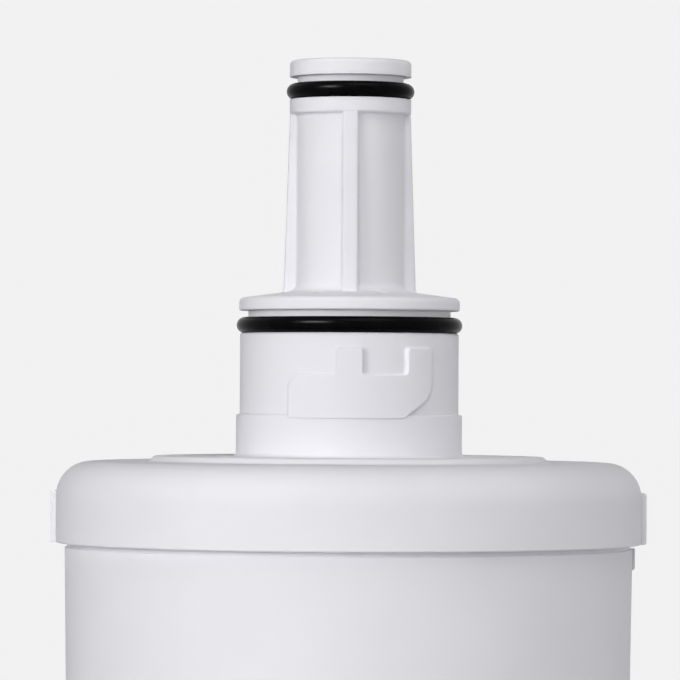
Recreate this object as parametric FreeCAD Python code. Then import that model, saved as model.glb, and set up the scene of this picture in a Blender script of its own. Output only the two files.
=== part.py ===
import FreeCAD
import Part
import math
import os

# Fridge water filter cartridge: a white welded housing with two seal rings outside and a carbon
# element inside. Millimetres. Z is the axis, the cup stands on z = 0, and -Y is the front.

# Overall sizes
TOTAL_HEIGHT = 212.0
LID_DIAMETER = 79.5

# Stem, from its tip down to the flange
OUTLET_BORE = 8.0
BORE_MOUTH_ROUND = 0.5
TIP_DIAMETER = 16.54
TIP_HEIGHT = 2.19
TIP_ROUND = 0.55
STEM_GLAND_DEPTH = 1.05
STEM_GLAND_WIDTH = 3.08
BAND_HEIGHT = 2.05
BAND_ROUND = 0.35
POCKET_DEPTH = 0.92
POCKET_TOP_ROUND = 0.45
POCKET_FOOT_ROUND = 1.2
RIB_COUNT = 4
RIB_LENGTH = 24.18
RIB_THICKNESS = 2.1
RIB_RISE_TOP = 0.85
RIB_RISE_FOOT = 1.65
RIB_ROOT_ROUND = 0.5
RIB_EDGE_ROUND = 0.3
RIB_FOOT_ROUND = 1.0
RIB_FOOT_REACH = 1.0
RIB_FOOT_SINK = 0.2

# Flange and the groove under it
FLANGE_FALL = 0.81
FLANGE_RIM = 1.69
FLANGE_ROUND = 0.7
FLANGE_UNDER_ROUND = 0.25
FLANGE_LIP = 0.12
NECK_GLAND_DEPTH = 1.12
NECK_GLAND_WIDTH = 3.07
GLAND_EDGE = 0.2

# Neck and collar
NECK_BORE = 23.5
NECK_WALL = 3.13
NECK_LENGTH = 10.93
COLLAR_STEP = 0.49
COLLAR_CHAMFER = 0.2
COLLAR_HEIGHT = 5.56
COLLAR_FOOT_ROUND = 0.6

# Bayonet cams on the neck, widths as seen from the front, with the tooth in the middle
CAM_COUNT = 2
CAM_HEIGHT = 0.68
CAM_ROOT = 0.5
CAM_SINK = 0.3
CAM_LEAD_WIDTH = 6.4
CAM_TOOTH_WIDTH = 3.6
CAM_NOTCH_WIDTH = 5.95
CAM_STOP_WIDTH = 3.3
CAM_SHELF = 5.78
CAM_TOOTH_TOP = 9.4
CAM_HEEL_WIDTH = 3.7
CAM_HEEL_HEIGHT = 3.0
CAM_LEAD_ROUND = 1.9
CAM_TOOTH_ROUND = 0.4
CAM_CORNER_MARGIN = 0.12
CAM_NOTCH_ROUND = 0.6
CAM_HEEL_ROUND = 3.2
CAM_ROOT_ROUND = 0.36
CAM_EDGE_ROUND = 0.2

# Lid roof and skirt
DISC_MARGIN = 13.29
DISC_STEP = 0.76
DISC_ROUND = 0.5
ROOF_THICKNESS = 3.2
SHOULDER_ROUND = 4.7
LID_DEPTH = 11.02
SKIRT_EDGE_ROUND = 0.25
GRIP_WIDTH = 4.6
GRIP_HEIGHT = 0.7
GRIP_TOP_DROP = 4.1
GRIP_ROUND = 0.3

# Weld between lid and cup
SKIRT_OVERHANG = 1.2
RIM_STEP = 0.35
RIM_ENGAGEMENT = 7.0
WELD_CLEARANCE = 0.05
SEAM_GAP = 0.6
LIP_THICKNESS = 1.8
LIP_DROP = 1.0

# Cup
CUP_WALL = 2.8
CUP_DRAFT_DEGREES = 0.75
CUP_FLOOR = 3.2
CUP_EDGE_ROUND = 0.15
BASE_ROUND = 5.0
FOOT_WIDTH = 4.0
FOOT_RECESS = 1.2
CUP_CORNER_ROUND = 3.0
LUG_WIDTH = 4.0
LUG_HEIGHT = 0.35
LUG_LENGTH = 2.83

# Water ways inside the lid
CEILING_THICKNESS = 3.0
INLET_GAP = 3.0
SOCKET_WALL = 1.8
SOCKET_DEPTH = 18.0
PORT_DIAMETER = 1.6
PORT_ANGLE = 25.0

# Seal rings
RING_CORD = 2.18
STEM_RING_SQUEEZE = 0.70
NECK_RING_SQUEEZE = 0.59
SPIGOT_RING_CORD = 1.78
SPIGOT_RING_SQUEEZE = 0.33

# Filter element
WATER_GAP = 2.2
HEAD_GAP = 3.0
END_CAP_THICKNESS = 2.2
END_CAP_LIP = 1.4
END_CAP_LIP_LENGTH = 6.0
WRAP_THICKNESS = 0.8
BLOCK_BORE = 14.0
FIT_CLEARANCE = 0.05
SPIGOT_CLEARANCE = 0.1
SPIGOT_END_GAP = 1.0
SPIGOT_WALL = 1.5
SPIGOT_LAND = 2.5
SPIGOT_GLAND_WIDTH = 2.4
PEG_RADIUS = 8.0
PEG_HEIGHT = 4.0
LOCATOR_WALL = 2.0
LOCATOR_HEIGHT = 3.0

# Levels of the lid, from the tip down
tip_under = TOTAL_HEIGHT - TIP_HEIGHT
band_top = tip_under - STEM_GLAND_WIDTH
band_under = band_top - BAND_HEIGHT
rib_top = band_under + BAND_ROUND
stem_foot = band_under - RIB_LENGTH
flange_edge = stem_foot - FLANGE_FALL
flange_under = flange_edge - FLANGE_RIM
neck_top = flange_under - NECK_GLAND_WIDTH
collar_top = neck_top - NECK_LENGTH
collar_edge = collar_top - COLLAR_CHAMFER
cam_foot = collar_edge - CAM_SINK
cam_top = cam_foot + CAM_TOOTH_TOP
disc_top = collar_edge - COLLAR_HEIGHT
roof_top = disc_top - DISC_STEP
roof_under = roof_top - ROOF_THICKNESS
lid_bottom = roof_top - LID_DEPTH
lip_bottom = lid_bottom + LIP_DROP
ceiling = stem_foot - CEILING_THICKNESS
socket_bottom = ceiling - SOCKET_DEPTH

# Radii of the stem
bore_r = OUTLET_BORE / 2
tip_r = TIP_DIAMETER / 2
stem_gland_r = tip_r - STEM_GLAND_DEPTH
core_r = tip_r - POCKET_DEPTH
rib_top_r = core_r + RIB_RISE_TOP
rib_foot_r = core_r + RIB_RISE_FOOT
rib_flare_r = rib_foot_r + RIB_FOOT_REACH

# Radii of the neck and of the socket inside it
neck_bore_r = NECK_BORE / 2
neck_r = neck_bore_r + NECK_WALL
neck_gland_r = neck_r - NECK_GLAND_DEPTH
flange_r = neck_r + FLANGE_LIP
collar_r = neck_r + COLLAR_STEP
cam_r = neck_r + CAM_HEIGHT
socket_outer_r = neck_bore_r - INLET_GAP
socket_r = socket_outer_r - SOCKET_WALL

# Radii and levels of the cup, whose wall narrows downwards by its draft
lid_r = LID_DIAMETER / 2
disc_r = lid_r - DISC_MARGIN
cup_top = lid_bottom - SEAM_GAP
cup_top_r = lid_r - SKIRT_OVERHANG
rim_r = cup_top_r - RIM_STEP
rim_top = lid_bottom + RIM_ENGAGEMENT
skirt_inner_r = rim_r + WELD_CLEARANCE
cup_floor = FOOT_RECESS + CUP_FLOOR


def cup_outer_r(level):
    return cup_top_r - (cup_top - level) * math.tan(math.radians(CUP_DRAFT_DEGREES))


def cup_inner_r(level):
    return cup_outer_r(level) - CUP_WALL


base_r = cup_outer_r(0)
recess_r = base_r - BASE_ROUND - FOOT_WIDTH
lip_outer_r = cup_inner_r(lip_bottom) - WELD_CLEARANCE
lip_inner_r = lip_outer_r - LIP_THICKNESS

# Levels and radii of the filter element
bottom_cap_under = cup_floor + PEG_HEIGHT
block_bottom = bottom_cap_under + END_CAP_THICKNESS
top_cap_top = roof_under - HEAD_GAP
block_top = top_cap_top - END_CAP_THICKNESS
spigot_top = ceiling - SPIGOT_END_GAP
spigot_gland_top = spigot_top - SPIGOT_LAND
spigot_gland_bottom = spigot_gland_top - SPIGOT_GLAND_WIDTH
spigot_r = socket_r - SPIGOT_CLEARANCE
spigot_gland_r = socket_r - SPIGOT_RING_CORD + SPIGOT_RING_SQUEEZE
spigot_bore_r = spigot_gland_r - SPIGOT_WALL
end_cap_r = cup_inner_r(bottom_cap_under) - WATER_GAP
wrap_r = end_cap_r - END_CAP_LIP - FIT_CLEARANCE
block_r = wrap_r - WRAP_THICKNESS
locator_r = PEG_RADIUS + FIT_CLEARANCE

# The most that a rounded corner takes of the shorter side beside it
ROUND_SHARE = 0.49

# How near an edge lies to the cylinder that it is sought on
EDGE_TOLERANCE = 0.0001

# Rounds of the cams, limited by the walls that they lie on
cam_root_round = min(CAM_ROOT_ROUND, ROUND_SHARE * CAM_HEIGHT, ROUND_SHARE * (neck_top - cam_top))
cam_edge_round = min(CAM_EDGE_ROUND, ROUND_SHARE * CAM_HEIGHT)
cam_corner_round = cam_root_round + CAM_CORNER_MARGIN

AXIS_FOOT = FreeCAD.Vector(0, 0, 0)
AXIS = FreeCAD.Vector(0, 0, 1)


def rounded_outline(corners):
    """Closed wire through (x, z, round) corners in the XZ plane, a tangent arc at each round one."""
    points = [FreeCAD.Vector(x, 0, z) for x, z, _ in corners]
    edges = []
    joints = []
    for index, (_, _, radius) in enumerate(corners):
        corner = points[index]
        back = points[index - 1] - corner
        ahead = points[(index + 1) % len(points)] - corner
        if radius == 0:
            joints.append((corner, corner))
            continue
        half = back.getAngle(ahead) / 2
        room = ROUND_SHARE * min(back.Length, ahead.Length)
        reach = min(radius / math.tan(half), room)
        back.normalize()
        ahead.normalize()
        inward = (back + ahead).normalize()
        depth = reach / math.cos(half) - reach * math.tan(half)
        start = corner + back * reach
        end = corner + ahead * reach
        edges.append(Part.Arc(start, corner + inward * depth, end).toShape())
        joints.append((start, end))
    for index, (start, _) in enumerate(joints):
        edges.append(Part.makeLine(joints[index - 1][1], start))
    return Part.Wire(Part.__sortEdges__(edges))


def revolved(corners):
    """Solid turned about the axis from a closed (radius, level, round) outline."""
    return Part.Face(rounded_outline(corners)).revolve(AXIS_FOOT, AXIS, 360)


def slab(width, reach_from, reach_to, low, high):
    """Upright box across the X axis, from reach_from to reach_to along X."""
    corner = FreeCAD.Vector(reach_from, -width / 2, low)
    return Part.makeBox(reach_to - reach_from, width, high - low, corner)


def about_axis(shape, degrees):
    turned = shape.copy()
    turned.rotate(AXIS_FOOT, AXIS, degrees)
    return turned


def flange_level(radius):
    """Height of the flange's sloping top at a radius."""
    slope = FLANGE_FALL / (flange_r - rib_foot_r)
    return stem_foot - (radius - rib_foot_r) * slope


def lid_outline():
    """Half section of the lid: the outside from tip to skirt, then the inside back up to the bore."""
    stem = [
        (bore_r, TOTAL_HEIGHT, BORE_MOUTH_ROUND),
        (tip_r, TOTAL_HEIGHT, TIP_ROUND),
        (tip_r, tip_under, 0),
        (stem_gland_r, tip_under, 0),
        (stem_gland_r, band_top, 0),
        (tip_r, band_top, 0),
        (tip_r, band_under, BAND_ROUND),
        (core_r, band_under, POCKET_TOP_ROUND),
        (core_r, flange_level(core_r), POCKET_FOOT_ROUND),
    ]
    neck = [
        (flange_r, flange_edge, FLANGE_ROUND),
        (flange_r, flange_under, FLANGE_UNDER_ROUND),
        (neck_gland_r, flange_under, 0),
        (neck_gland_r, neck_top, 0),
        (neck_r - GLAND_EDGE, neck_top, 0),
        (neck_r, neck_top - GLAND_EDGE, 0),
        (neck_r, collar_top, 0),
        (collar_r, collar_edge, 0),
        (collar_r, disc_top, COLLAR_FOOT_ROUND),
    ]
    roof = [
        (disc_r, disc_top, DISC_ROUND),
        (disc_r + DISC_STEP, roof_top, DISC_ROUND),
        (lid_r, roof_top, SHOULDER_ROUND),
        (lid_r, lid_bottom, SKIRT_EDGE_ROUND),
    ]
    weld_groove = [
        (skirt_inner_r, lid_bottom, 0),
        (skirt_inner_r, rim_top, 0),
        (lip_outer_r, rim_top, 0),
        (lip_outer_r, lip_bottom, 0),
        (lip_inner_r, lip_bottom, 0),
        (lip_inner_r, roof_under, 0),
    ]
    water_way = [
        (neck_bore_r, roof_under, 0),
        (neck_bore_r, ceiling, 0),
        (socket_outer_r, ceiling, 0),
        (socket_outer_r, socket_bottom, 0),
        (socket_r, socket_bottom, 0),
        (socket_r, ceiling, 0),
        (bore_r, ceiling, 0),
    ]
    return stem + neck + roof + weld_groove + water_way


def rib_section():
    """Cross-section of the ribbed stem: the round core and its ribs, with rounded roots."""
    half = RIB_THICKNESS / 2
    tip = rib_flare_r + RIB_FOOT_REACH
    across = half + RIB_ROOT_ROUND
    along = math.sqrt((core_r + RIB_ROOT_ROUND) ** 2 - across**2)
    centre = FreeCAD.Vector(along, across, 0)
    on_core = centre * (core_r / (core_r + RIB_ROOT_ROUND))
    on_rib = FreeCAD.Vector(along, half, 0)
    toward = (on_core + on_rib - centre * 2).normalize()
    on_root = centre + toward * RIB_ROOT_ROUND
    pitch = 360 / RIB_COUNT
    mid_core = FreeCAD.Rotation(AXIS, pitch / 2).multVec(FreeCAD.Vector(core_r, 0, 0))
    low = [FreeCAD.Vector(p.x, -p.y, 0) for p in (on_core, on_root, on_rib)]
    next_core = FreeCAD.Rotation(AXIS, pitch).multVec(low[0])
    rib = [
        Part.Arc(*low).toShape(),
        Part.makeLine(low[2], FreeCAD.Vector(tip, -half, 0)),
        Part.makeLine(FreeCAD.Vector(tip, -half, 0), FreeCAD.Vector(tip, half, 0)),
        Part.makeLine(FreeCAD.Vector(tip, half, 0), on_rib),
        Part.Arc(on_rib, on_root, on_core).toShape(),
        Part.Arc(on_core, mid_core, next_core).toShape(),
    ]
    edges = [about_axis(edge, pitch * index) for index in range(RIB_COUNT) for edge in rib]
    return Part.Face(Part.Wire(Part.__sortEdges__(edges)))


def outside_core(edge):
    """True where an edge runs along the outer face of a rib."""
    middle = edge.CenterOfMass
    return math.hypot(middle.x, middle.y) > core_r + RIB_RISE_TOP / 2


def stem_ribs():
    """Ribs round the stem, cut to their draft by a tapered envelope that flares at the flange."""
    root = ceiling
    envelope = revolved([
        (bore_r, root, 0),
        (rib_flare_r, root, 0),
        (rib_flare_r, flange_level(rib_flare_r) - RIB_FOOT_SINK, 0),
        (rib_foot_r, flange_level(rib_foot_r), RIB_FOOT_ROUND),
        (rib_top_r, rib_top, 0),
        (bore_r, rib_top, 0),
    ])
    section = rib_section()
    section.translate(FreeCAD.Vector(0, 0, root))
    ribs = section.extrude(FreeCAD.Vector(0, 0, rib_top - root)).common(envelope)
    long_edges = [e for e in ribs.Edges if e.Length > RIB_LENGTH / 2 and outside_core(e)]
    return ribs.makeFillet(RIB_EDGE_ROUND, long_edges)


def sleeve(outer_r, low, high):
    """Tube from the root of the cams in the neck's wall out to outer_r."""
    inner_r = neck_r - CAM_ROOT
    return revolved([(inner_r, low, 0), (outer_r, low, 0), (outer_r, high, 0), (inner_r, high, 0)])


def bayonet_cam():
    """One hooked cam on the front of the neck, its walls drawn straight forward as moulded."""
    tooth = CAM_TOOTH_WIDTH / 2
    lead = -tooth - CAM_LEAD_WIDTH
    notch = tooth + CAM_NOTCH_WIDTH
    stop = notch + CAM_STOP_WIDTH
    shelf = cam_foot + CAM_SHELF
    wire = rounded_outline([
        (lead, cam_foot, 0),
        (lead, shelf, CAM_LEAD_ROUND),
        (-tooth, shelf, cam_corner_round),
        (-tooth, cam_top, CAM_TOOTH_ROUND),
        (tooth, cam_top, CAM_TOOTH_ROUND),
        (tooth, shelf, cam_corner_round),
        (notch, shelf, CAM_NOTCH_ROUND),
        (notch, cam_top, CAM_TOOTH_ROUND),
        (stop, cam_top, CAM_TOOTH_ROUND),
        (stop, cam_foot + CAM_HEEL_HEIGHT, CAM_HEEL_ROUND),
        (stop - CAM_HEEL_WIDTH, cam_foot, 0),
    ])
    hook = Part.Face(wire).extrude(FreeCAD.Vector(0, -2 * cam_r, 0))
    return hook.common(sleeve(cam_r, cam_foot, cam_top))


def runs_round_cam(edge, radius):
    """True for an edge of a cam on a cylinder about the axis, apart from the flat cut at its foot."""
    middle = edge.valueAt((edge.FirstParameter + edge.LastParameter) / 2)
    places = [middle] + [vertex.Point for vertex in edge.Vertexes]
    stray = max(abs(math.hypot(place.x, place.y) - radius) for place in places)
    above_foot = edge.CenterOfMass.z > cam_foot + EDGE_TOLERANCE
    in_front_or_behind = abs(middle.y) > neck_r / 2
    return stray < EDGE_TOLERANCE and above_foot and in_front_or_behind


def bayonet():
    """Sleeve of the neck with its cams, rounded at their roots and along their outer edges."""
    cams = [about_axis(bayonet_cam(), 360 / CAM_COUNT * index) for index in range(CAM_COUNT)]
    plain = sleeve(neck_r, cam_foot, (cam_top + neck_top) / 2).fuse(cams).removeSplitter()
    rooted = plain.makeFillet(cam_root_round, [e for e in plain.Edges if runs_round_cam(e, neck_r)])
    return rooted.makeFillet(cam_edge_round, [e for e in rooted.Edges if runs_round_cam(e, cam_r)])


def grip_ribs():
    """Narrow upright ribs on the two sides of the skirt."""
    top = roof_top - GRIP_TOP_DROP
    ring = revolved([
        (skirt_inner_r, lid_bottom, 0),
        (lid_r + GRIP_HEIGHT, lid_bottom, GRIP_ROUND),
        (lid_r + GRIP_HEIGHT, top, GRIP_ROUND),
        (skirt_inner_r, top, 0),
    ])
    return ring.common(slab(GRIP_WIDTH, -2 * lid_r, 2 * lid_r, lid_bottom, top))


def inlet_ports():
    """Small holes beside the front and back ribs, from the flange's top into the neck."""
    middle_r = (socket_outer_r + neck_bore_r) / 2
    height = TOTAL_HEIGHT - ceiling
    foot = FreeCAD.Vector(0, -middle_r, ceiling - CEILING_THICKNESS)
    port = Part.makeCylinder(PORT_DIAMETER / 2, height, foot)
    turns = (-PORT_ANGLE, PORT_ANGLE, 180 - PORT_ANGLE, 180 + PORT_ANGLE)
    return [about_axis(port, turn) for turn in turns]


def housing_lid():
    body = revolved(lid_outline()).fuse([stem_ribs(), bayonet(), grip_ribs()])
    return body.cut(inlet_ports()).removeSplitter()


def housing_cup():
    shell = revolved([
        (0, FOOT_RECESS, 0),
        (recess_r, FOOT_RECESS, 0),
        (recess_r, 0, 0),
        (base_r, 0, BASE_ROUND),
        (cup_top_r, cup_top, CUP_EDGE_ROUND),
        (rim_r, cup_top, 0),
        (rim_r, rim_top, 0),
        (cup_inner_r(rim_top), rim_top, 0),
        (cup_inner_r(cup_floor), cup_floor, CUP_CORNER_ROUND),
        (locator_r + LOCATOR_WALL, cup_floor, 0),
        (locator_r + LOCATOR_WALL, cup_floor + LOCATOR_HEIGHT, 0),
        (locator_r, cup_floor + LOCATOR_HEIGHT, 0),
        (locator_r, cup_floor, 0),
        (0, cup_floor, 0),
    ])
    low = cup_top - LUG_LENGTH
    lug_ring = revolved([
        (cup_inner_r(low) + CUP_WALL / 2, low, 0),
        (cup_top_r + LUG_HEIGHT, low, LUG_HEIGHT),
        (cup_top_r + LUG_HEIGHT, cup_top, 0),
        (cup_inner_r(low) + CUP_WALL / 2, cup_top, 0),
    ])
    lug = lug_ring.common(slab(LUG_WIDTH, 0, 2 * lid_r, low, cup_top))
    return shell.fuse(lug).removeSplitter()


def seal_ring(floor_r, seat_level, cord, squeeze):
    """Seal ring seated on seat_level, its round section flattened where it grips the groove floor."""
    centre_r = floor_r + cord / 2 - squeeze
    level = seat_level + cord / 2
    half = math.sqrt((cord / 2) ** 2 - (centre_r - floor_r) ** 2)
    low = FreeCAD.Vector(floor_r, 0, level - half)
    high = FreeCAD.Vector(floor_r, 0, level + half)
    outermost = FreeCAD.Vector(centre_r + cord / 2, 0, level)
    section = Part.Wire([Part.Arc(low, outermost, high).toShape(), Part.makeLine(high, low)])
    return Part.Face(section).revolve(AXIS_FOOT, AXIS, 360)


def carbon_block():
    return revolved([
        (BLOCK_BORE / 2, block_bottom, 0),
        (block_r, block_bottom, 0),
        (block_r, block_top, 0),
        (BLOCK_BORE / 2, block_top, 0),
    ])


def prefilter_wrap():
    return revolved([
        (block_r, block_bottom, 0),
        (wrap_r, block_bottom, 0),
        (wrap_r, block_top, 0),
        (block_r, block_top, 0),
    ])


def top_end_cap():
    """Cap over the block's top with the spigot that leads the clean water up into the lid."""
    return revolved([
        (spigot_bore_r, block_top, 0),
        (wrap_r + FIT_CLEARANCE, block_top, 0),
        (wrap_r + FIT_CLEARANCE, block_top - END_CAP_LIP_LENGTH, 0),
        (end_cap_r, block_top - END_CAP_LIP_LENGTH, 0),
        (end_cap_r, top_cap_top, 0),
        (spigot_r, top_cap_top, 0),
        (spigot_r, spigot_gland_bottom, 0),
        (spigot_gland_r, spigot_gland_bottom, 0),
        (spigot_gland_r, spigot_gland_top, 0),
        (spigot_r, spigot_gland_top, 0),
        (spigot_r, spigot_top, 0),
        (spigot_bore_r, spigot_top, 0),
    ])


def bottom_end_cap():
    """Closed cap under the block, standing on a peg in the ring of the cup's floor."""
    return revolved([
        (0, cup_floor, 0),
        (PEG_RADIUS, cup_floor, 0),
        (PEG_RADIUS, bottom_cap_under, 0),
        (end_cap_r, bottom_cap_under, 0),
        (end_cap_r, block_bottom + END_CAP_LIP_LENGTH, 0),
        (wrap_r + FIT_CLEARANCE, block_bottom + END_CAP_LIP_LENGTH, 0),
        (wrap_r + FIT_CLEARANCE, block_bottom, 0),
        (0, block_bottom, 0),
    ])


pieces = {
    "housing_lid": housing_lid(),
    "housing_cup": housing_cup(),
    "stem_o_ring": seal_ring(stem_gland_r, band_top, RING_CORD, STEM_RING_SQUEEZE),
    "neck_o_ring": seal_ring(neck_gland_r, neck_top, RING_CORD, NECK_RING_SQUEEZE),
    "spigot_o_ring": seal_ring(
        spigot_gland_r, spigot_gland_bottom, SPIGOT_RING_CORD, SPIGOT_RING_SQUEEZE
    ),
    "carbon_block": carbon_block(),
    "prefilter_wrap": prefilter_wrap(),
    "top_end_cap": top_end_cap(),
    "bottom_end_cap": bottom_end_cap(),
}

os.makedirs("parts", exist_ok=True)
for name, piece in pieces.items():
    piece.exportStep("parts/" + name + ".step")
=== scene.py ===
import math

import bpy
from mathutils import Matrix, Vector


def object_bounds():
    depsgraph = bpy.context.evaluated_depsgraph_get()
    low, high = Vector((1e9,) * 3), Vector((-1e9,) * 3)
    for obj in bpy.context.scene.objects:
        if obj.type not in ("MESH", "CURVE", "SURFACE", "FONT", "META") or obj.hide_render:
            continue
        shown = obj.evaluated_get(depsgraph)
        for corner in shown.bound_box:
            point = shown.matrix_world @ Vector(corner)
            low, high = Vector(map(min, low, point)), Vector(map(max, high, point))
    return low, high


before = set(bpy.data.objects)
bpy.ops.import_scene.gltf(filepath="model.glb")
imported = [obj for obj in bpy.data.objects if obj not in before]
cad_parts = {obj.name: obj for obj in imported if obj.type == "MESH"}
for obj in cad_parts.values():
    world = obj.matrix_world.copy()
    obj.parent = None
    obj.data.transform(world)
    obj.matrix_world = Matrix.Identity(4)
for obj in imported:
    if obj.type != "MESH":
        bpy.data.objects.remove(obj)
cad_low, cad_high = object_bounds()

# Looks of a white fridge water filter cartridge with two black seal rings, standing on a pale floor.
# Metres, in the frame of the solids: Z is the axis, -Y is the front.
# Colours are linear red, green and blue, a roughness is a range, and a gloss is a specular level.

MM = 0.001

# Camera: the photograph's frame, its scale at the cartridge's axis, and where it was taken from
PHOTO_SIDE = 680
PIXELS_PER_MM = 7.35
CAMERA_DISTANCE = 660 * MM
CAMERA_HEIGHT = 167.25 * MM
AIM_HEIGHT = 174.05 * MM
AIM_SIDE = -1.28 * MM
ROLL_DEGREES = 0.27
SENSOR = 36.0
NEAR_CLIP = 10 * MM

# Background and light
PALE = (0.887, 0.885, 0.892)
AMBIENT = (0.98, 0.975, 1.0)
AMBIENT_LEVEL = 0.01
LAMP_AIM = Vector((0, 0, 165 * MM))

# Floor: lit and shadowed round the object, then fading into the background
FLOOR_RADIUS = 0.9
FLOOR_SIDES = 96
FLOOR_FADE_START = 0.25
FLOOR_FADE_END = 0.97 * FLOOR_RADIUS
FLOOR_GLOW = 0.42
FLOOR_TONE = (0.80, 0.798, 0.805)
FLOOR_SPECK_SIZE = 6 * MM
FLOOR_SPECK_SHARE = 0.985
FLOOR_SPECK_TONE = tuple(FLOOR_SPECK_SHARE * part for part in FLOOR_TONE)

# Middle range of a texture, which drives tones and roughness
TEXTURE_LOW = 0.35
TEXTURE_HIGH = 0.65

# Moulded plastic in general
PLASTIC_GLOSS = 0.015
PLASTIC_IOR = 1.49
PLASTIC_SCATTER = 0.3
PLASTIC_SCATTER_DEPTH = 1.0 * MM
PLASTIC_FLOW_SIZE = 16 * MM
PLASTIC_GRAIN_SIZE = 0.16 * MM
PLASTIC_SINK_SIZE = 5 * MM
PLASTIC_SINK_DEPTH = 0.012 * MM
EVEN_SCATTER = (1.0, 1.0, 1.0)
EDGE_SAMPLES = 6

# White plastic of the housing
WHITE_LIGHT = (0.815, 0.808, 0.845)
WHITE_SHADE = (0.795, 0.788, 0.826)
WHITE_ROUGHNESS = (0.54, 0.64)
WHITE_GRAIN_DEPTH = 0.004 * MM
WHITE_EDGE = 0.12 * MM

# Plainer plastic of the filter element's caps
ELEMENT_LIGHT = (0.72, 0.72, 0.70)
ELEMENT_SHADE = (0.69, 0.69, 0.67)
ELEMENT_ROUGHNESS = (0.35, 0.45)
ELEMENT_GRAIN_DEPTH = 0.003 * MM
ELEMENT_EDGE = 0.1 * MM

# Rubber of the seal rings
RUBBER_BLACK = (0.0008, 0.0008, 0.0010)
RUBBER_WORN = (0.0020, 0.0020, 0.0022)
RUBBER_ROUGHNESS = (0.22, 0.28)
RUBBER_GLOSS = 0.03
RUBBER_IOR = 1.5
RUBBER_SKIN_SIZE = 0.12 * MM
RUBBER_SKIN_DEPTH = 0.002 * MM
RUBBER_BLOOM_SIZE = 2.2 * MM

# Carbon of the block
CARBON_LIGHT = (0.035, 0.035, 0.037)
# Painted shade: the tone of the gaps between granules, where the bump is lowest
CARBON_GAP_SHADE = (0.008, 0.008, 0.009)
CARBON_ROUGHNESS = (0.6, 0.95)
CARBON_GLOSS = 0.4
CARBON_GRANULE_SIZE = 0.45 * MM
CARBON_GRANULE_DEPTH = 0.12 * MM

# Fleece of the wrap
FLEECE_LIGHT = (0.78, 0.77, 0.74)
FLEECE_SHADE = (0.62, 0.61, 0.58)
FLEECE_ROUGHNESS = (0.85, 1.0)
FLEECE_GLOSS = 0.2
FLEECE_SHEEN = 0.3
FLEECE_FIBRE_SIZE = 0.5 * MM
FLEECE_FIBRE_DEPTH = 0.15 * MM


def put(tree, kind, **values):
    """New node in a tree, with its input sockets set by name."""
    node = tree.nodes.new(kind)
    for name, value in values.items():
        node.inputs[name.replace("_", " ")].default_value = value
    return node


def opaque(colour):
    """Colour with full alpha."""
    return (*colour, 1.0)


def new_tree(name):
    """New material and its empty node tree."""
    material = bpy.data.materials.new(name)
    material.use_nodes = True
    material.node_tree.nodes.clear()
    return material, material.node_tree


def place_in(tree):
    """Socket with the place of a point on the object."""
    return tree.nodes.new("ShaderNodeTexCoord").outputs["Object"]


def noise(tree, place, size, detail, roughness=0.5):
    """Noise whose features are about size metres across."""
    texture = put(tree, "ShaderNodeTexNoise", Scale=1 / size, Detail=detail, Roughness=roughness)
    tree.links.new(place, texture.inputs["Vector"])
    return texture.outputs["Fac"]


def remap(tree, source, low, high):
    """Spreads a texture's middle range over low to high."""
    node = put(
        tree, "ShaderNodeMapRange",
        From_Min=TEXTURE_LOW, From_Max=TEXTURE_HIGH, To_Min=low, To_Max=high,
    )
    tree.links.new(source, node.inputs["Value"])
    return node.outputs["Result"]


def two_tone(tree, source, first, second):
    """Colour between two tones, by a texture's middle range."""
    node = tree.nodes.new("ShaderNodeMix")
    node.data_type = "RGBA"
    node.inputs["A"].default_value = opaque(first)
    node.inputs["B"].default_value = opaque(second)
    tree.links.new(remap(tree, source, 0, 1), node.inputs["Factor"])
    return node.outputs["Result"]


def bump(tree, height, depth, strength=1.0, normal=None):
    """Bump of a depth in metres, on top of another normal."""
    node = put(tree, "ShaderNodeBump", Strength=strength, Distance=depth)
    tree.links.new(height, node.inputs["Height"])
    if normal is not None:
        tree.links.new(normal, node.inputs["Normal"])
    return node.outputs["Normal"]


def soft_edge(tree, radius):
    """Normal that rounds the sharp edges of a moulding."""
    node = put(tree, "ShaderNodeBevel", Radius=radius)
    node.samples = EDGE_SAMPLES
    return node.outputs["Normal"]


def mixed(tree, factor, first, second):
    """Mix of two shaders: the first where the factor is 0, the second where it is 1."""
    node = tree.nodes.new("ShaderNodeMixShader")
    tree.links.new(factor, node.inputs["Fac"])
    tree.links.new(first, node.inputs[1])
    tree.links.new(second, node.inputs[2])
    return node.outputs["Shader"]


def end(tree, shader, kind="ShaderNodeOutputMaterial"):
    """Ends a tree in its output node."""
    tree.links.new(shader, tree.nodes.new(kind).inputs["Surface"])


def finish(tree, shader, tone, roughness, normal):
    """Feeds a Principled shader and ends its tree."""
    tree.links.new(tone, shader.inputs["Base Color"])
    tree.links.new(roughness, shader.inputs["Roughness"])
    tree.links.new(normal, shader.inputs["Normal"])
    end(tree, shader.outputs["BSDF"])


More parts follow.
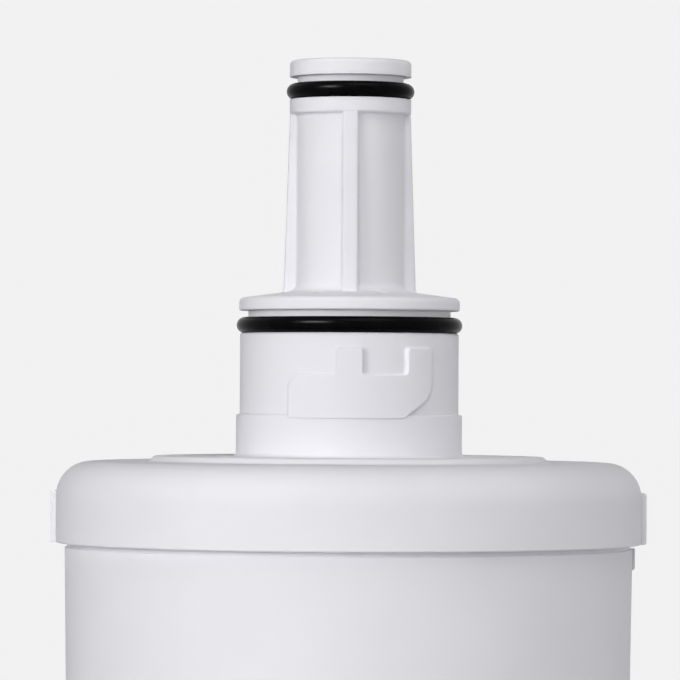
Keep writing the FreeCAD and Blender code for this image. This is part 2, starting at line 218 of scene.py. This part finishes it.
def moulded_plastic(name, light, shade, roughness, grain_depth, edge):
    """Satin injection moulding: faint flow tone, shallow sink marks, fine eroded grain, soft edges."""
    material, tree = new_tree(name)
    place = place_in(tree)
    flow = noise(tree, place, PLASTIC_FLOW_SIZE, detail=2.0)
    grain = noise(tree, place, PLASTIC_GRAIN_SIZE, detail=2.0, roughness=0.6)
    sink = noise(tree, place, PLASTIC_SINK_SIZE, detail=1.0)
    shader = put(
        tree, "ShaderNodeBsdfPrincipled",
        Specular_IOR_Level=PLASTIC_GLOSS, IOR=PLASTIC_IOR, Subsurface_Weight=PLASTIC_SCATTER,
        Subsurface_Radius=EVEN_SCATTER, Subsurface_Scale=PLASTIC_SCATTER_DEPTH,
    )
    waves = bump(tree, sink, PLASTIC_SINK_DEPTH, strength=0.5, normal=soft_edge(tree, edge))
    finish(
        tree, shader,
        tone=two_tone(tree, flow, light, shade),
        roughness=remap(tree, grain, *roughness),
        normal=bump(tree, grain, grain_depth, strength=0.6, normal=waves),
    )
    return material


def housing_white():
    """Cool white satin plastic."""
    return moulded_plastic(
        "housing_white", WHITE_LIGHT, WHITE_SHADE, WHITE_ROUGHNESS, WHITE_GRAIN_DEPTH, WHITE_EDGE
    )


def element_plastic():
    """Plain, slightly warm plastic."""
    return moulded_plastic(
        "element_plastic", ELEMENT_LIGHT, ELEMENT_SHADE, ELEMENT_ROUGHNESS, ELEMENT_GRAIN_DEPTH, ELEMENT_EDGE
    )


def seal_rubber():
    """Black moulded rubber with a faint bloom and a fine skin."""
    material, tree = new_tree("seal_rubber")
    place = place_in(tree)
    skin = noise(tree, place, RUBBER_SKIN_SIZE, detail=3.0)
    bloom = noise(tree, place, RUBBER_BLOOM_SIZE, detail=2.0)
    finish(
        tree, put(tree, "ShaderNodeBsdfPrincipled", Specular_IOR_Level=RUBBER_GLOSS, IOR=RUBBER_IOR),
        tone=two_tone(tree, bloom, RUBBER_BLACK, RUBBER_WORN),
        roughness=remap(tree, bloom, *RUBBER_ROUGHNESS),
        normal=bump(tree, skin, RUBBER_SKIN_DEPTH, strength=0.6),
    )
    return material


def pressed_carbon():
    """Sintered black granules, which stand out at the middle of each cell, with painted shade in the gaps:
    the tone darkens towards each cell's edge, where the bump sinks.
    """
    material, tree = new_tree("pressed_carbon")
    cells = put(tree, "ShaderNodeTexVoronoi", Scale=1 / CARBON_GRANULE_SIZE)
    tree.links.new(place_in(tree), cells.inputs["Vector"])
    granules = cells.outputs["Distance"]
    finish(
        tree, put(tree, "ShaderNodeBsdfPrincipled", Specular_IOR_Level=CARBON_GLOSS),
        # Painted shade: darker towards each cell's edge, in step with the sinking bump
        tone=two_tone(tree, granules, CARBON_LIGHT, CARBON_GAP_SHADE),
        roughness=remap(tree, granules, *CARBON_ROUGHNESS),
        normal=bump(tree, granules, -CARBON_GRANULE_DEPTH),
    )
    return material


def fleece():
    """Matted white fibre."""
    material, tree = new_tree("fleece")
    fibres = noise(tree, place_in(tree), FLEECE_FIBRE_SIZE, detail=6.0, roughness=0.7)
    finish(
        tree,
        put(tree, "ShaderNodeBsdfPrincipled", Specular_IOR_Level=FLEECE_GLOSS, Sheen_Weight=FLEECE_SHEEN),
        tone=two_tone(tree, fibres, FLEECE_LIGHT, FLEECE_SHADE),
        roughness=remap(tree, fibres, *FLEECE_ROUGHNESS),
        normal=bump(tree, fibres, FLEECE_FIBRE_DEPTH),
    )
    return material


def dress(material, *names):
    """Gives CAD nodes one finish."""
    for name in names:
        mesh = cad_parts[name].data
        mesh.materials.clear()
        mesh.materials.append(material)


def seen_directly(tree):
    """1 for what the camera sees, straight or in a gloss or through glass, and 0 for light."""
    path = tree.nodes.new("ShaderNodeLightPath")
    seen = path.outputs["Is Camera Ray"]
    for kind in ("Is Glossy Ray", "Is Transmission Ray"):
        either = tree.nodes.new("ShaderNodeMath")
        either.operation = "MAXIMUM"
        tree.links.new(seen, either.inputs[0])
        tree.links.new(path.outputs[kind], either.inputs[1])
        seen = either.outputs["Value"]
    return seen


def studio_world():
    """Pale behind the object; as a light, a dim room."""
    world = bpy.data.worlds.new("studio")
    world.use_nodes = True
    tree = world.node_tree
    tree.nodes.clear()
    room = put(tree, "ShaderNodeBackground", Color=opaque(AMBIENT), Strength=AMBIENT_LEVEL)
    pale = put(tree, "ShaderNodeBackground", Color=opaque(PALE), Strength=1.0)
    both = mixed(tree, seen_directly(tree), room.outputs["Background"], pale.outputs["Background"])
    end(tree, both, "ShaderNodeOutputWorld")
    bpy.context.scene.world = world


def toward(azimuth, elevation):
    """Unit vector from the object, azimuth 0 to the front and 90 to the right."""
    turn = math.radians(azimuth)
    rise = math.radians(elevation)
    return Vector((math.sin(turn) * math.cos(rise), -math.cos(turn) * math.cos(rise), math.sin(rise)))


def softbox(name, azimuth, elevation, distance, width, height, level, in_gloss=True, in_diffuse=True):
    """Area lamp that faces the object; level is how bright it makes a white face turned to it.

    A lamp that isn't in gloss leaves no highlight, and one that isn't in diffuse leaves only that.
    """
    lamp = bpy.data.lights.new(name, "AREA")
    lamp.shape = "RECTANGLE"
    lamp.size = width
    lamp.size_y = height
    lamp.energy = level * (math.pi * distance) ** 2
    box = bpy.data.objects.new(name, lamp)
    direction = toward(azimuth, elevation)
    box.location = LAMP_AIM + direction * distance
    box.rotation_euler = direction.to_track_quat("Z", "Y").to_euler()
    box.visible_camera = False
    box.visible_glossy = in_gloss
    box.visible_diffuse = in_diffuse
    bpy.context.scene.collection.objects.link(box)


def studio_lamps():
    """Soft light from the front left, with fills; the low lamps stand beyond the floor's rim."""
    softbox("left_key", azimuth=-47, elevation=10, distance=1.3,
            width=0.4, height=0.6, level=0.45, in_gloss=False)
    softbox("front_key", azimuth=-8, elevation=10, distance=1.3,
            width=0.7, height=0.6, level=0.41, in_gloss=False)
    softbox("glint", azimuth=-39, elevation=31, distance=0.8,
            width=0.30, height=0.22, level=2.2, in_diffuse=False)
    softbox("top", azimuth=28, elevation=62, distance=0.6,
            width=0.4, height=0.35, level=0.36)
    softbox("right_fill", azimuth=102, elevation=4, distance=1.3,
            width=0.7, height=0.5, level=0.32, in_gloss=False)
    softbox("back_fill", azimuth=180, elevation=-2, distance=1.4,
            width=0.6, height=0.24, level=0.75, in_gloss=False)


def floor_fade(tree, place):
    """0 round the object, rising to 1 near the floor's rim."""
    distance = tree.nodes.new("ShaderNodeVectorMath")
    distance.operation = "LENGTH"
    tree.links.new(place, distance.inputs[0])
    fade = put(
        tree, "ShaderNodeMapRange",
        From_Min=FLOOR_FADE_START, From_Max=FLOOR_FADE_END, To_Min=0.0, To_Max=1.0,
    )
    fade.interpolation_type = "SMOOTHSTEP"
    tree.links.new(distance.outputs["Value"], fade.inputs["Value"])
    return fade.outputs["Result"]


def pale_glow(tree, strength):
    """Emission in the background's tone."""
    node = put(tree, "ShaderNodeEmission", Color=opaque(PALE))
    tree.links.new(strength, node.inputs["Strength"])
    return node.outputs["Emission"]


def lit_floor(tree, place, seen):
    """Matt, faintly specked floor that takes the shadow, lifted by a part of the background's tone."""
    speck = noise(tree, place, FLOOR_SPECK_SIZE, detail=4.0)
    matt = tree.nodes.new("ShaderNodeBsdfDiffuse")
    tree.links.new(two_tone(tree, speck, FLOOR_TONE, FLOOR_SPECK_TONE), matt.inputs["Color"])
    dimmed = tree.nodes.new("ShaderNodeMath")
    dimmed.operation = "MULTIPLY"
    dimmed.inputs[1].default_value = FLOOR_GLOW
    tree.links.new(seen, dimmed.inputs[0])
    lit = tree.nodes.new("ShaderNodeAddShader")
    tree.links.new(matt.outputs["BSDF"], lit.inputs[0])
    tree.links.new(pale_glow(tree, dimmed.outputs["Value"]), lit.inputs[1])
    return lit.outputs["Shader"]


def floor_material():
    """Pale floor that keeps the shadow and fades into the background."""
    material, tree = new_tree("pale_floor")
    place = place_in(tree)
    seen = seen_directly(tree)
    near = lit_floor(tree, place, seen)
    far = pale_glow(tree, seen)
    end(tree, mixed(tree, floor_fade(tree, place), near, far))
    return material


def floor():
    """Round floor under the object."""
    turns = [2 * math.pi * side / FLOOR_SIDES for side in range(FLOOR_SIDES)]
    corners = [(FLOOR_RADIUS * math.cos(t), FLOOR_RADIUS * math.sin(t), cad_low.z) for t in turns]
    mesh = bpy.data.meshes.new("floor")
    mesh.from_pydata(corners, [], [list(range(FLOOR_SIDES))])
    mesh.materials.append(floor_material())
    disc = bpy.data.objects.new("floor", mesh)
    bpy.context.scene.collection.objects.link(disc)


def camera():
    """Camera of the photograph: a long lens at the height of the bayonet cams."""
    data = bpy.data.cameras.new("camera")
    data.sensor_width = SENSOR
    data.lens = SENSOR * PIXELS_PER_MM * (CAMERA_DISTANCE / MM) / PHOTO_SIDE
    data.clip_start = NEAR_CLIP
    eye = bpy.data.objects.new("camera", data)
    stand = Vector((AIM_SIDE, -CAMERA_DISTANCE, CAMERA_HEIGHT))
    aim = Vector((AIM_SIDE, 0, AIM_HEIGHT))
    look = (stand - aim).to_track_quat("Z", "Y").to_matrix().to_4x4()
    roll = Matrix.Rotation(math.radians(ROLL_DEGREES), 4, "Z")
    eye.matrix_world = Matrix.Translation(stand) @ look @ roll
    bpy.context.scene.collection.objects.link(eye)
    bpy.context.scene.camera = eye


dress(housing_white(), "housing_lid", "housing_cup")
dress(element_plastic(), "top_end_cap", "bottom_end_cap")
dress(seal_rubber(), "stem_o_ring", "neck_o_ring", "spigot_o_ring")
dress(pressed_carbon(), "carbon_block")
dress(fleece(), "prefilter_wrap")

studio_world()
studio_lamps()
floor()
camera()
bpy.context.scene.view_settings.view_transform = "Standard"
